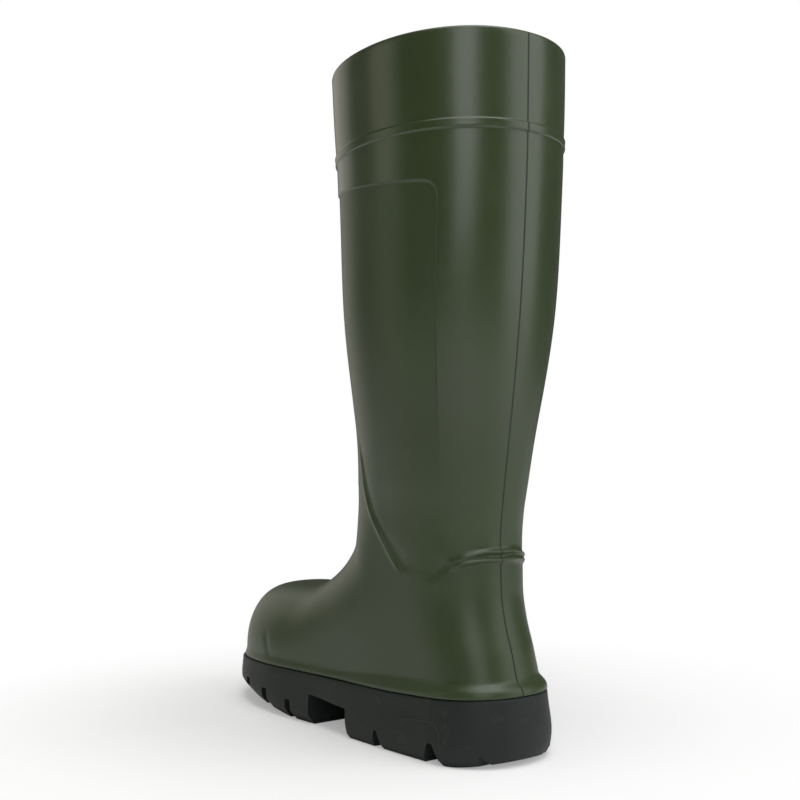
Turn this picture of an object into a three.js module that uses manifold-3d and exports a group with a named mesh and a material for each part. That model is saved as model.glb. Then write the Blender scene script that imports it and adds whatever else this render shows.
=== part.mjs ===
// A safety wellington boot for the left foot, standing empty on its sole.
// Millimetres. +Z is up, +Y points to the toe and +X to the wearer's right, the inner side of this foot.
// The origin lies on the floor under the middle of the heel.
import * as THREE from "three";
import { mergeVertices } from "three/addons/utils/BufferGeometryUtils.js";
import Module from "manifold-3d";

const wasm = await Module();
wasm.setup();

// Driving sizes of the foot
const lastLength = 289.5; // back of the upper to its toe, along its edge on the sole
const ballWidth = 100; // upper across the ball
const heelWidth = 70; // upper across the heel
const ankleWidth = 75; // upper across the ankle
const ankleDepth = 116; // front to back at the ankle, the narrowest place
const toeHeight = 52.5; // top of the toe box above its edge on the sole
const toeRound = 65; // length over which the toe closes in plan
const toeSwing = 4.2; // how far the tip of the toe lies to the inner side
const instepHeight = 114.5; // bend of the instep above the top of the toe box
const ankleHeight = 117; // bend of the ankle above the edge at the heel

// Driving sizes of the shaft
const bootHeight = 395; // floor to collar
const collarDepth = 151; // front to back at the collar
const collarWidth = 124; // side to side at the collar
const shaftWall = 4; // wall of the shaft
const footWall = 5; // wall of the foot
const cuffDrop = 50; // cuff bead below the collar
const cuffBead = 4.5; // height of the bead
const cuffProud = 0.9; // how far the bead stands out
const panelStep = 0.8; // depth of the side panels
const panelGap = 31; // panel's upper rear corner below the cuff bead
const ribProud = 1.7; // twin ridges round the heel
const creaseProud = 1.2; // ridge and trough beside the instep
const heelLip = 3; // flare of the upper above its edge on the sole, at the heel
const sideLip = 1; // the same along the forefoot

// Driving sizes of the sole
const heelStack = 38; // edge of the upper above the floor at the heel
const toeStack = 29; // the same at the toe
const heelOverhang = 3.4; // sole beyond the upper at the heel
const toeOverhang = 2.8; // the same at the toe
const soleRound = 1.4; // rounding of the sole's upper edge
const heelSwell = 2.2; // bulge of the sole's side at the heel
const ballSwell = 1.1; // the same along the forefoot
const toeSpring = 16.5; // rise of the tread at the toe
const heelStrike = 3; // rise of the tread at the back of the heel
const heelBevel = 1.2; // bevel of the tread's edge at the heel
const ballBevel = 4; // the same under the ball
const archHeight = 19; // opening of the arch above the floor
const notchHeight = 12; // notches in the heel's edge
const notchWidth = 9;
const lugHeight = 13; // notches between the lugs of the forefoot
const lugGap = 7;
const notchReach = 13; // how far the notches run in from the edge
const treadDepth = 5; // grooves across the tread
const channelWidth = 4.5; // grooves along the tread
const channelSpread = 30; // distance between the grooves along the tread

// Insole and clearances
const insoleThickness = 4.5;
const insoleClearance = 2;
const insoleEdge = 1.3; // chamfer round the insole's top
const seatGap = 0.3; // pieces that meet lie this far apart

// Fineness of the facets
const roundSteps = 28; // steps from the back seam to the front, each side
const soleSteps = 30;
const profileSamples = 600;

// Sections: straight cuts from the back line to the front line, from the edge on the sole up to the collar.
// Heights count rungs of a ladder. At the back 0 is the edge on the sole, 1 the ankle, 2 the cuff and
// 3 the collar. At the front 0 is the edge, 1 the top of the toe, 2 the bend of the instep, 3 the cuff
// and 4 the collar.
// The back's place is a share of the length, and the run to the front adds shares of three sizes.
const SECTION_COLUMNS = ["backRise", "backIn", "ofLength", "ofAnkle", "ofCollar", "frontRise"];
const SECTION_ROWS = [
  [0.0, 0.0, 1.0, 0, 0, 0.0],
  [0.045, 0.004, 0.995, 0, 0, 0.21],
  [0.135, 0.014, 0.969, 0, 0, 0.61],
  [0.18, 0.019, 0.939, 0, 0, 0.77],
  [0.225, 0.025, 0.892, 0, 0, 0.915],
  [0.31, 0.037, 0.756, 0, 0, 1.012],
  [0.415, 0.047, 0.47, 0.353, 0, 1.037],
  [0.48, 0.05, 0.26, 0.66, 0, 1.114],
  [0.55, 0.051, 0.1, 0.88, 0, 1.237],
  [0.63, 0.0515, 0.02, 0.96, 0, 1.39],
  [0.725, 0.051, 0, 1.0, 0, 1.57],
  [1.0, 0.036, 0, 0.8, 0.18, 2.0],
  [1.45, -0.012, 0, 0.22, 0.725, 2.44],
  [1.86, -0.038, 0, 0.05, 0.915, 2.85],
  [2.0, -0.043, 0, 0.03, 0.945, 3.0],
  [3.0, -0.049, 0, 0, 1.0, 4.0],
];

// Plan of the foot: half widths on the outer and inner side, as shares of a width between heel and ball.
const PLAN_COLUMNS = ["at", "ball", "outer", "inner"];
const PLAN_ROWS = [
  [0.0, 0, 0.483, 0.483],
  [0.11, 0, 0.5, 0.49],
  [0.24, 0, 0.555, 0.476],
  [0.37, 0.1, 0.572, 0.449],
  [0.5, 0.35, 0.55, 0.445],
  [0.6, 0.65, 0.531, 0.46],
  [0.7, 0.9, 0.521, 0.486],
  [0.78, 1, 0.501, 0.495],
  [0.86, 1, 0.476, 0.5],
  [0.93, 1, 0.436, 0.48],
  [1.0, 1, 0.386, 0.451],
];

// Half width of ankle and shaft, by rung at the back.
const SHAFT_COLUMNS = ["rise", "ofAnkle", "ofCollar"];
const SHAFT_ROWS = [
  [0.19, 0.5, 0],
  [0.44, 0.495, 0],
  [0.7, 0.507, 0],
  [0.96, 0.47, 0.043],
  [1.24, 0.36, 0.185],
  [1.5, 0.22, 0.332],
  [1.76, 0.1, 0.42],
  [2.0, 0.03, 0.47],
  [3.0, 0, 0.5],
];

// Rounding of the heel by share of its width, by rung at the back.
const BACK_COLUMNS = ["rise", "round"];
const BACK_ROWS = [
  [0, 0.52],
  [0.19, 0.545],
  [0.53, 0.6],
  [0.87, 0.745],
];

// Edge of the upper on the sole: how much of the heel's extra height is left along the length.
const EDGE_COLUMNS = ["at", "left"];
const EDGE_ROWS = [
  [0, 1],
  [0.33, 0.51],
  [0.7, 0.26],
  [1, 0],
];

// Twin ridges round the heel: distance from the back seam by share of the ankle's depth, heights by rung.
const RIB_COLUMNS = ["round", "upper", "lower", "strength"];
const RIB_ROWS = [
  [0, 0.692, 0.653, 1],
  [0.055, 0.697, 0.655, 1],
  [0.12, 0.685, 0.65, 1],
  [0.19, 0.655, 0.633, 0.9],
  [0.24, 0.61, 0.6, 0.6],
  [0.285, 0.565, 0.555, 0.35],
  [0.33, 0.53, 0.52, 0],
];

// Crease beside the instep: place by share of the depth at that height.
const CREASE_COLUMNS = ["rise", "at", "strength"];
const CREASE_ROWS = [
  [0.53, 0.3, 0],
  [0.58, 0.35, 0.5],
  [0.65, 0.43, 1],
  [0.75, 0.55, 1],
  [0.87, 0.656, 0.9],
  [1.02, 0.707, 0.6],
  [1.12, 0.75, 0],
];

// Rings of facets up the upper: rung at the back where each run ends, steps in it outside and inside.
const RING_COLUMNS = ["upTo", "outside", "inside"];
const RING_ROWS = [
  [0.3, 8, 6],
  [0.5, 7, 4],
  [0.72, 12, 3],
  [1.0, 6, 3],
  [1.97, 8, 5],
];

// Side of the sole from tread to edge: share of the height, and how much of the swell it has.
const SIDE_COLUMNS = ["rise", "swell"];
const SIDE_ROWS = [
  [0.3, 1],
  [0.55, 0.8],
  [0.8, 0.25],
];

// Notches and lugs: place along the length, and base, top and height by share of notch or lug sizes.
const NOTCH_COLUMNS = ["at", "base", "top", "height"];
const HEEL_NOTCH_ROWS = [
  [0.014, 0.2, 0.12, 0.42],
  [0.104, 1.25, 0.3, 1.0],
  [0.268, 0.95, 0.25, 0.87],
];
const LUG_ROWS = [
  [0.6, 0.9, 0.75, 1.0],
  [0.7, 1.2, 0.8, 0.95],
  [0.795, 1.1, 0.8, 0.85],
  [0.885, 1.0, 0.8, 0.6],
];

const columnOf = (rows, columns, name) => rows.map((row) => row[columns.indexOf(name)]);
const mix = (a, b, t) => a + (b - a) * t;
const clamp = (t, low = 0, high = 1) => Math.min(high, Math.max(low, t));
const bell = (distance, width) => Math.exp(-((distance / width) ** 2));
// A quarter of a superellipse: 0 at the rim, 1 once t reaches 1.
const arch = (t, power) => (1 - (1 - clamp(t)) ** power) ** (1 / power);

function smooth(from, to, t) {
  const x = clamp((t - from) / (to - from));
  return x * x * (3 - 2 * x);
}

// Natural cubic spline through the values, as a function.
function spline(at, value) {
  const last = at.length - 1;
  const bend = new Array(last + 1).fill(0);
  const factor = new Array(last + 1).fill(0);
  for (let i = 1; i < last; i++) {
    const before = at[i] - at[i - 1];
    const after = at[i + 1] - at[i];
    const pivot = 2 * (before + after) - before * factor[i - 1];
    const slopes = (value[i + 1] - value[i]) / after - (value[i] - value[i - 1]) / before;
    factor[i] = after / pivot;
    bend[i] = (6 * slopes - before * bend[i - 1]) / pivot;
  }
  for (let i = last - 1; i > 0; i--) bend[i] -= factor[i] * bend[i + 1];
  return (x) => {
    let i = 0;
    while (i < last - 1 && x > at[i + 1]) i++;
    const h = at[i + 1] - at[i];
    const d = clamp(x, at[0], at[last]) - at[i];
    const slope = (value[i + 1] - value[i]) / h - (h * (2 * bend[i] + bend[i + 1])) / 6;
    return value[i] + d * (slope + d * (bend[i] / 2 + (d * (bend[i + 1] - bend[i])) / (6 * h)));
  };
}

function splineOf(rows, columns, name) {
  return spline(columnOf(rows, columns, columns[0]), columnOf(rows, columns, name));
}

// Straight-line lookup in a rising list.
function lookup(at, value, x) {
  let low = 0;
  let high = at.length - 1;
  if (x <= at[low]) return value[low];
  if (x >= at[high]) return value[high];
  while (high - low > 1) {
    const middle = (low + high) >> 1;
    if (at[middle] > x) high = middle;
    else low = middle;
  }
  return mix(value[low], value[high], (x - at[low]) / (at[high] - at[low]));
}

// Ladders of heights at the back and the front, and the reverse at the back
const cuffHeight = bootHeight - cuffDrop;
const backLadder = [heelStack, heelStack + ankleHeight, cuffHeight, bootHeight];
const toeTop = toeStack + toeHeight;
const frontLadder = [toeStack, toeTop, toeTop + instepHeight, cuffHeight, bootHeight];
const rungs = (ladder) => ladder.map((_, i) => i);
const climb = (ladder, rise) => lookup(rungs(ladder), ladder, rise);
const riseOf = (z) => lookup(backLadder, rungs(backLadder), z);

// Back and front line by section number
const sectionNumbers = SECTION_ROWS.map((_, i) => i);
const sectionTop = SECTION_ROWS.length - 1;
const sectionColumn = (name) => columnOf(SECTION_ROWS, SECTION_COLUMNS, name);
const backAtSection = sectionColumn("backIn").map((share) => share * lastLength);
const backY = spline(sectionNumbers, backAtSection);
const backZ = spline(sectionNumbers, sectionColumn("backRise").map((rise) => climb(backLadder, rise)));
const frontY = spline(
  sectionNumbers,
  SECTION_ROWS.map(
    ([, , length, ankle, collar], i) =>
      backAtSection[i] + length * lastLength + ankle * ankleDepth + collar * collarDepth,
  ),
);
const frontZ = spline(sectionNumbers, sectionColumn("frontRise").map((rise) => climb(frontLadder, rise)));

const sampled = Array.from({ length: profileSamples + 1 }, (_, i) => (i / profileSamples) * sectionTop);
const backYs = sampled.map(backY);
const backZs = sampled.map(backZ);
const frontYs = sampled.map(frontY);
const frontZs = sampled.map(frontZ);
const backAt = (z) => lookup(backZs, backYs, z);
const frontAt = (z) => lookup(frontZs, frontYs, z);
const sectionAtBack = (z) => lookup(backZs, sampled, z);

// Height of the upper's edge on the sole
const edgeLeft = splineOf(EDGE_ROWS, EDGE_COLUMNS, "left");
const edgeHeight = (y) => mix(toeStack, heelStack, edgeLeft(y / lastLength));

// The instep turns round a hub in front of its bend: below and ahead of it depth is measured down from the
// toe's top line, beside it towards the hub, and above it straight back from the front line.
const bendHeight = toeTop + instepHeight;
const hubShare = 0.35;
const hub = { y: mix(frontAt(bendHeight), lastLength, hubShare), z: bendHeight };
const aheadOfHub = sampled.filter((_, i) => frontYs[i] >= hub.y).length;
const toeYs = frontYs.slice(0, aheadOfHub + 1).reverse();
const toeZs = frontZs.slice(0, aheadOfHub + 1).reverse();
const toeLine = (y) => lookup(toeYs, toeZs, y);
const fan = sampled
  .map((_, i) => ({ y: hub.y - frontYs[i], z: hub.z - frontZs[i] }))
  .filter(({ y, z }) => y > -heelWidth && z > -heelWidth)
  .map(({ y, z }) => ({ angle: Math.atan2(z, y), reach: Math.hypot(y, z) }))
  .sort((a, b) => a.angle - b.angle);
const fanAngles = fan.map(({ angle }) => angle);
const fanReaches = fan.map(({ reach }) => reach);

const planSplines = Object.fromEntries(
  PLAN_COLUMNS.slice(1).map((name) => [name, splineOf(PLAN_ROWS, PLAN_COLUMNS, name)]),
);
const shaftOfAnkle = splineOf(SHAFT_ROWS, SHAFT_COLUMNS, "ofAnkle");
const shaftOfCollar = splineOf(SHAFT_ROWS, SHAFT_COLUMNS, "ofCollar");
const backRises = columnOf(BACK_ROWS, BACK_COLUMNS, "rise");
const backRounds = columnOf(BACK_ROWS, BACK_COLUMNS, "round");
const swingFrom = 0.55; // share of the length where the toe starts to swing inwards
const leastDepth = 1; // of a section, at the very tip of the toe
const toePower = 2.3;
const shaftPower = 2;
const backPower = 2.15;
const bodyBlend = [0.19, 0.96]; // rungs between which the foot's plan gives way to the ankle's
const backBlend = [0.87, 1.2]; // rungs between which the heel's rounding gives way to a half oval

// How far a point lies behind the front line, and over which depth and how the front closes.
function frontClosing(y, z) {
  const upright = (frontAt(z) - backAt(z)) / 2;
  const flat = Math.max(toeLine(y) - (heelStack + toeStack) / 2, leastDepth);
  if (y >= hub.y) return { depth: toeLine(y) - z, over: flat, power: toePower };
  if (z >= hub.z) return { depth: frontAt(z) - y, over: upright, power: shaftPower };
  const angle = Math.atan2(hub.z - z, hub.y - y);
  const turn = smooth(0, Math.PI / 2, angle);
  const depth = Math.hypot(hub.y - y, hub.z - z) - lookup(fanAngles, fanReaches, angle);
  const uprightAtHub = (frontAt(hub.z) - backAt(hub.z)) / 2;
  const flatAtHub = toeLine(hub.y) - (heelStack + toeStack) / 2;
  return { depth, over: mix(uprightAtHub, flatAtHub, turn), power: mix(shaftPower, toePower, turn) };
}

function backClosing(y, z) {
  const rise = riseOf(z);
  const round = lookup(backRises, backRounds, rise) * heelWidth;
  const half = (frontAt(z) - backAt(z)) / 2;
  return arch((y - backAt(z)) / mix(round, half, smooth(...backBlend, rise)), backPower);
}

// Centre line and half widths of the upper at a place in its side view.
function halfWidths(y, z) {
  const rise = riseOf(z);
  const share = clamp(y / lastLength);
  const body = smooth(...bodyBlend, rise);
  const width = mix(heelWidth, ballWidth, clamp(planSplines.ball(share)));
  const toe = arch((lastLength - y) / toeRound, toePower);
  const shaft = shaftOfAnkle(rise) * ankleWidth + shaftOfCollar(rise) * collarWidth;
  const { depth, over, power } = frontClosing(y, z);
  const closing = arch(depth / over, power) * backClosing(y, z);
  return {
    centre: toeSwing * smooth(swingFrom, 1, share) * (1 - body),
    outer: mix(planSplines.outer(share) * width * toe, shaft, body) * closing,
    inner: mix(planSplines.inner(share) * width * toe, shaft, body) * closing,
  };
}

const toeTopSection = 5; // the upper's edge lies on the sole's curve, and its sag dies out by this section

// A place in the side view by section number and share of the way from back to front.
function sidePlace(section, share) {
  const y = mix(backY(section), frontY(section), share);
  const straight = mix(heelStack, toeStack, share);
  const sag = edgeHeight(mix(backY(0), frontY(0), share)) - straight;
  const z = mix(backZ(section), frontZ(section), share) + sag * (1 - smooth(0, toeTopSection, section));
  return { y, z };
}

// Points round one section: back seam, outer side, front, inner side.
function ringAt(section, shares) {
  const outer = shares.map((share) => {
    const { y, z } = sidePlace(section, share);
    const { centre, outer: width } = halfWidths(y, z);
    return new THREE.Vector3(centre - width, y, z);
  });
  const inner = shares.slice(1, -1).map((share) => {
    const { y, z } = sidePlace(section, share);
    const { centre, inner: width } = halfWidths(y, z);
    return new THREE.Vector3(centre + width, y, z);
  });
  return [...outer, ...inner.reverse()];
}

// Shares of the way from back to front, closer together at both ends.
function roundShares(steps) {
  return Array.from({ length: steps + 1 }, (_, i) => (1 - Math.cos((Math.PI * i) / steps)) / 2);
}

// Outward directions of a closed ring, level, from its neighbours on the ring.
function levelNormals(ring) {
  return ring.map((_, i) => {
    const next = ring[(i + 1) % ring.length];
    const before = ring[(i + ring.length - 1) % ring.length];
    return new THREE.Vector3(before.y - next.y, next.x - before.x, 0).normalize();
  });
}

// Outward directions of a stack of rings, level on the first and last.
function stackNormals(rings) {
  const across = new THREE.Vector3();
  const along = new THREE.Vector3();
  return rings.map((ring, r) => {
    const level = levelNormals(ring);
    if (r === 0 || r === rings.length - 1) return level;
    return ring.map((_, i) => {
      along.subVectors(ring[(i + 1) % ring.length], ring[(i + ring.length - 1) % ring.length]);
      across.subVectors(rings[r + 1][i], rings[r - 1][i]);
      const normal = new THREE.Vector3().crossVectors(across, along);
      return normal.lengthSq() > 0 ? normal.normalize() : level[i];
    });
  });
}

const offset = (rings, normals, distance) =>
  rings.map((ring, r) =>
    ring.map((point, i) => point.clone().addScaledVector(normals[r][i], distance(point, r))),
  );

// A closed mesh from rings of equally many points, joined in a loop or capped across at both ends.
function meshOfRings(rings, looped) {
  const around = rings[0].length;
  const positions = rings.flat().flatMap(({ x, y, z }) => [x, y, z]);
  const faces = [];
  const quad = (a, b, c, d) => faces.push(a, b, c, a, c, d);
  const bands = looped ? rings.length : rings.length - 1;
  for (let r = 0; r < bands; r++) {
    const low = r * around;
    const high = ((r + 1) % rings.length) * around;
    for (let i = 0; i < around; i++) {
      const next = (i + 1) % around;
      quad(low + i, high + i, high + next, low + next);
    }
  }
  if (!looped) {
    const top = (rings.length - 1) * around;
    for (let i = 0; i < around / 2; i++) {
      const across = (around - i) % around;
      const acrossNext = around - i - 1;
      if (i > 0) faces.push(across, i, i + 1);
      if (i > 0) faces.push(top + across, top + i + 1, top + i);
      if (acrossNext !== i + 1) faces.push(across, i + 1, acrossNext);
      if (acrossNext !== i + 1) faces.push(top + across, top + acrossNext, top + i + 1);
    }
  }
  const geometry = new THREE.BufferGeometry();
  geometry.setAttribute("position", new THREE.Float32BufferAttribute(positions, 3));
  geometry.setIndex(faces);
  return geometry;
}

function solidOf(geometry) {
  const bare = geometry.index ? geometry.toNonIndexed() : geometry.clone();
  bare.deleteAttribute("normal");
  bare.deleteAttribute("uv");
  const merged = mergeVertices(bare, 1e-4);
  return new wasm.Manifold(
    new wasm.Mesh({
      numProp: 3,
      vertProperties: merged.attributes.position.array,
      triVerts: new Uint32Array(merged.index.array),
    }),
  );
}

function geometryOf(solid) {
  const { vertProperties, triVerts, numProp } = solid.getMesh();
  const positions = new Float32Array((vertProperties.length / numProp) * 3);
  for (let i = 0; i < positions.length / 3; i++) {
    for (let axis = 0; axis < 3; axis++) positions[3 * i + axis] = vertProperties[numProp * i + axis];
  }
  const geometry = new THREE.BufferGeometry();
  geometry.setAttribute("position", new THREE.BufferAttribute(positions, 3));
  geometry.setIndex(new THREE.BufferAttribute(new Uint32Array(triVerts), 1));
  return geometry;
}

// A prism across the boot from an outline in the side view.
function crossPrism(outline, from, to) {
  const shape = new THREE.Shape(outline.map(([y, z]) => new THREE.Vector2(y, z)));
  const geometry = new THREE.ExtrudeGeometry(shape, { depth: to - from, bevelEnabled: false });
  const turn = new THREE.Matrix4().makeBasis(
    new THREE.Vector3(0, 1, 0),
    new THREE.Vector3(0, 0, 1),
    new THREE.Vector3(1, 0, 0),
  );
  return solidOf(geometry.applyMatrix4(turn).translate(from, 0, 0));
}

// Relief of the upper
const ribUpper = splineOf(RIB_ROWS, RIB_COLUMNS, "upper");
const ribLower = splineOf(RIB_ROWS, RIB_COLUMNS, "lower");
const ribStrength = splineOf(RIB_ROWS, RIB_COLUMNS, "strength");
const ribSoftness = 0.021; // half width of a ridge, by share of the ankle's height
const ribTop = 1.1; // where the two ridges run together they rise no higher than this

function heelRibs({ x, y, z }) {
  const round = Math.hypot(x, y - backAt(z)) / ankleDepth;
  const rise = (z - heelStack) / ankleHeight;
  if (round > RIB_ROWS.at(-1)[0]) return 0;
  const ridges = bell(rise - ribUpper(round), ribSoftness) + bell(rise - ribLower(round), ribSoftness);
  return ribProud * clamp(ribStrength(round)) * Math.min(ridges, ribTop);
}

const creaseAt = splineOf(CREASE_ROWS, CREASE_COLUMNS, "at");
const creaseStrength = splineOf(CREASE_ROWS, CREASE_COLUMNS, "strength");
const creaseSoftness = 0.055; // by share of the ankle's depth
const troughBehind = 0.1;

function instepCrease({ y, z }) {
  const rise = riseOf(z);
  const behind = (mix(backAt(z), frontAt(z), creaseAt(rise)) - y) / ankleDepth;
  const ridge = bell(behind, creaseSoftness);
  const trough = bell(behind - troughBehind, creaseSoftness);
  return creaseProud * clamp(creaseStrength(rise)) * (ridge - trough);
}

function cuff({ z }) {
  return Math.abs(z - cuffHeight) < cuffBead / 2 ? cuffProud : 0;
}

// The panel's rear edge stands at one share of every section, and its top rises to the front.
const panelRear = 0.143;
const panelRearWidth = 0.006;
const panelTopRise = 0.55; // part of the gap under the cuff that is left at the front
const panelFadeRise = [0.95, 1.35]; // rungs over which the panel comes up out of the ankle

function sidePanel({ y, z }, share) {
  const atFront = (y - backAt(z)) / (frontAt(z) - backAt(z));
  const top = cuffHeight - panelGap * mix(1, panelTopRise, atFront);
  const inside = share > panelRear ? 1 : 0;
  return -panelStep * inside * (z < top ? 1 : 0) * smooth(...panelFadeRise, riseOf(z));
}

const lipSoftness = 5; // height over which the flare dies out
const lipShares = [0.2, 0.45]; // shares of the length between which it falls to that of the side

function lipFlare({ y, z }) {
  const above = Math.max(z - edgeHeight(y), 0);
  return mix(heelLip, sideLip, smooth(...lipShares, y / lastLength)) * bell(above, lipSoftness);
}

// Sections where the rings of facets lie, outside with extra ones along the cuff bead.
function ringSections(column) {
  const sections = [0];
  let from = 0;
  for (const row of RING_ROWS) {
    const upTo = row[0];
    const steps = row[RING_COLUMNS.indexOf(column)];
    for (let i = 1; i <= steps; i++) {
      sections.push(sectionAtBack(climb(backLadder, mix(from, upTo, i / steps))));
    }
    from = upTo;
  }
  return sections;
}

const beadEdge = 0.35; // slope of the bead's edges
function cuffSections() {
  const half = cuffBead / 2;
  return [-half - beadEdge, -half + beadEdge, half - beadEdge, half + beadEdge]
    .map((from) => sectionAtBack(cuffHeight + from));
}

const wallBlend = [0.6, 1.3]; // rungs between which the wall of the foot gives way to that of the shaft

// The upper: one hollow wall, open at the collar and over the sole.
function upper() {
  const shares = roundShares(roundSteps);
  const nearest = (target) => shares.reduce((a, b) => (Math.abs(b - target) < Math.abs(a - target) ? b : a));
  const onEdge = shares.indexOf(nearest(panelRear));
  shares[onEdge] = panelRear;
  shares.splice(onEdge + 1, 0, panelRear + panelRearWidth);
  const shareOf = (i) => shares[Math.min(i, 2 * (shares.length - 1) - i)];
  const middleOfCollar = (sectionAtBack(cuffHeight) + sectionTop) / 2;
  const outsideSections = [...ringSections("outside"), ...cuffSections(), middleOfCollar, sectionTop];
  const insideSections = [...ringSections("inside"), middleOfCollar, sectionTop];
  const wallAt = ({ z }) => mix(footWall, shaftWall, smooth(...wallBlend, riseOf(z)));
  const outside = outsideSections.map((section) => ringAt(section, shares));
  const outsideNormals = stackNormals(outside);
  const skin = outside.map((ring, r) =>
    ring.map((point, i) => {
      const relief = heelRibs(point) + instepCrease(point) + cuff(point) + sidePanel(point, shareOf(i)) +
        lipFlare(point);
      return point.clone().addScaledVector(outsideNormals[r][i], relief);
    }),
  );
  const inside = insideSections.map((section) => ringAt(section, shares));
  const lining = offset(inside, stackNormals(inside), (point) => -wallAt(point));
  const raised = [skin[0], lining[0]].map((ring) =>
    ring.map(({ x, y, z }) => new THREE.Vector3(x, y, z + seatGap)),
  );
  return meshOfRings([raised[0], ...skin.slice(1), ...lining.slice(1).reverse(), raised[1]], true);
}

// Rise of the tread above the floor: flat under heel and ball, and up at the toe and the back of the heel.
const springFrom = 0.605; // share of the length where the tread leaves the floor
const springPower = 1.05;
const strikeRun = 0.07; // share of the length over which the heel's back edge comes down
const strikePower = 1.5;
function springAt(y) {
  const share = y / lastLength;
  const toToe = Math.max((share - springFrom) / (1 - springFrom), 0);
  const toBack = Math.max(1 - share / strikeRun, 0);
  return toeSpring * toToe ** springPower + heelStrike * toBack ** strikePower;
}

const waist = [0.4, 0.5]; // shares of the length between which heel gives way to forefoot
const bevelAt = (y) => mix(heelBevel, ballBevel, smooth(...waist, y / lastLength));
const swellAt = (y) => mix(heelSwell, ballSwell, smooth(...waist, y / lastLength));
const overhangAt = (y) => mix(heelOverhang, toeOverhang, smooth(...waist, y / lastLength));

// Outline of the upper on the sole, moved out or in.
function soleOutline(outward) {
  const ring = ringAt(0, roundShares(soleSteps));
  const normals = levelNormals(ring);
  return ring.map((point, i) => point.clone().addScaledVector(normals[i], outward(point)));
}

const atHeight = (ring, height) => ring.map(({ x, y }) => new THREE.Vector3(x, y, height(y)));

// The sole without its cuts, inset by the same distance all round.
function soleBody(inset) {
  const outline = (outward) => soleOutline(({ y }) => overhangAt(y) - inset + outward(y));
  const tread = atHeight(outline((y) => -bevelAt(y)), springAt);
  const aboveBevel = atHeight(outline((y) => swellAt(y) / 2), (y) => springAt(y) + bevelAt(y));
  const side = SIDE_ROWS.map(([rise, swell]) =>
    atHeight(outline((y) => swell * swellAt(y)), (y) => mix(springAt(y), edgeHeight(y), rise)),
  );
  const belowRound = atHeight(outline(() => 0), (y) => edgeHeight(y) - soleRound);
  const edge = atHeight(outline(() => -soleRound), edgeHeight);
  return solidOf(meshOfRings([tread, aboveBevel, ...side, belowRound, edge], false));
}

// Notches open to the side, and shallow grooves that join them across the tread.
function notches(rows, width, height, core) {
  const below = -heelStack;
  return rows.map(([at, base, top, tall]) => {
    const y = at * lastLength;
    const floor = springAt(y);
    const outline = (up) => {
      const topHalf = (mix(base, top, up / (tall * height)) * width) / 2;
      const baseHalf = (base * width) / 2;
      return [
        [y - baseHalf, below],
        [y + baseHalf, below],
        [y + baseHalf, floor],
        [y + topHalf, floor + up],
        [y - topHalf, floor + up],
        [y - baseHalf, floor],
      ];
    };
    const sides = crossPrism(outline(tall * height), -ballWidth, ballWidth).subtract(core);
    const groove = crossPrism(outline(Math.min(treadDepth, tall * height)), -ballWidth, ballWidth);
    return base * width > channelWidth / 2 ? sides.add(groove) : sides;
  });
}

// Grooves along the tread, on both sides of its middle.
const channelRuns = [
  [0.05, 0.33],
  [0.55, 0.93],
];
const channelSteps = 6;
function channels() {
  return channelRuns.flatMap(([from, to]) =>
    [-1, 1].map((side) => {
      const middle = (side * channelSpread) / 2;
      const steps = channelSteps;
      const ys = Array.from({ length: steps + 1 }, (_, i) => mix(from, to, i / steps) * lastLength);
      const roof = ys.map((y) => [y, springAt(y) + treadDepth]).reverse();
      const outline = [[ys[0], -heelStack], [ys[steps], -heelStack], ...roof];
      return crossPrism(outline, middle - channelWidth / 2, middle + channelWidth / 2);
    }),
  );
}

// The arch: the sole is cut away between the heel block and the lugs of the forefoot.
const archBack = 0.366;
const archFront = 0.53;
const archSlope = 0.012;
const archTilt = 1; // its roof rises by this to the front of its middle height
function archOpening() {
  const outline = [
    [archBack * lastLength, -heelStack],
    [archFront * lastLength, -heelStack],
    [(archFront - archSlope) * lastLength, archHeight + archTilt],
    [(archBack + archSlope / 2) * lastLength, archHeight - archTilt],
  ];
  return crossPrism(outline, -ballWidth, ballWidth);
}

function outsole() {
  const core = soleBody(notchReach);
  const cuts = [
    archOpening(),
    ...channels(),
    ...notches(HEEL_NOTCH_ROWS, notchWidth, notchHeight, core),
    ...notches(LUG_ROWS, lugGap, lugHeight, core),
  ];
  return geometryOf(cuts.reduce((body, cut) => body.subtract(cut), soleBody(0)));
}

// A loose insole on the sole, inside the upper's wall.
function insole() {
  const inset = footWall + insoleClearance;
  const seat = (y) => edgeHeight(y) + seatGap;
  const ring = (extra, up) => atHeight(soleOutline(() => -inset - extra), (y) => seat(y) + up);
  const side = [ring(0, 0), ring(0, insoleThickness - insoleEdge)];
  return meshOfRings([...side, ring(insoleEdge, insoleThickness)], false);
}

const heelSeat = 0.186; // middle of the heel's tread from the back, by share of the length

function rubber(name, geometry, material) {
  const mesh = new THREE.Mesh(geometry, material);
  mesh.name = name;
  mesh.position.set(0, -heelSeat * lastLength, 0);
  return mesh;
}
const olive = new THREE.MeshStandardMaterial({ color: 0x3c4432, roughness: 0.38, metalness: 0 });
const darkSole = new THREE.MeshStandardMaterial({ color: 0x2e3331, roughness: 0.55, metalness: 0 });
const greyFoam = new THREE.MeshStandardMaterial({ color: 0x55585a, roughness: 0.9, metalness: 0 });

const group = new THREE.Group();
group.name = "safety_wellington_boot";
group.add(rubber("upper", upper(), olive));
group.add(rubber("outsole", outsole(), darkSole));
group.add(rubber("insole", insole(), greyFoam));
export default group;
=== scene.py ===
"""A safety wellington boot for the left foot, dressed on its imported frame.

Metres. +Z is up, +Y points to the toe and +X to the wearer's right, the inner side of this foot.
The origin lies on the floor under the middle of the heel.
"""

import logging
import math
from dataclasses import dataclass
from enum import Enum
from typing import Any, Dict, List, Optional, Sequence, Tuple, Union

import bpy
import numpy as np
from mathutils import Matrix, Vector


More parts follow.
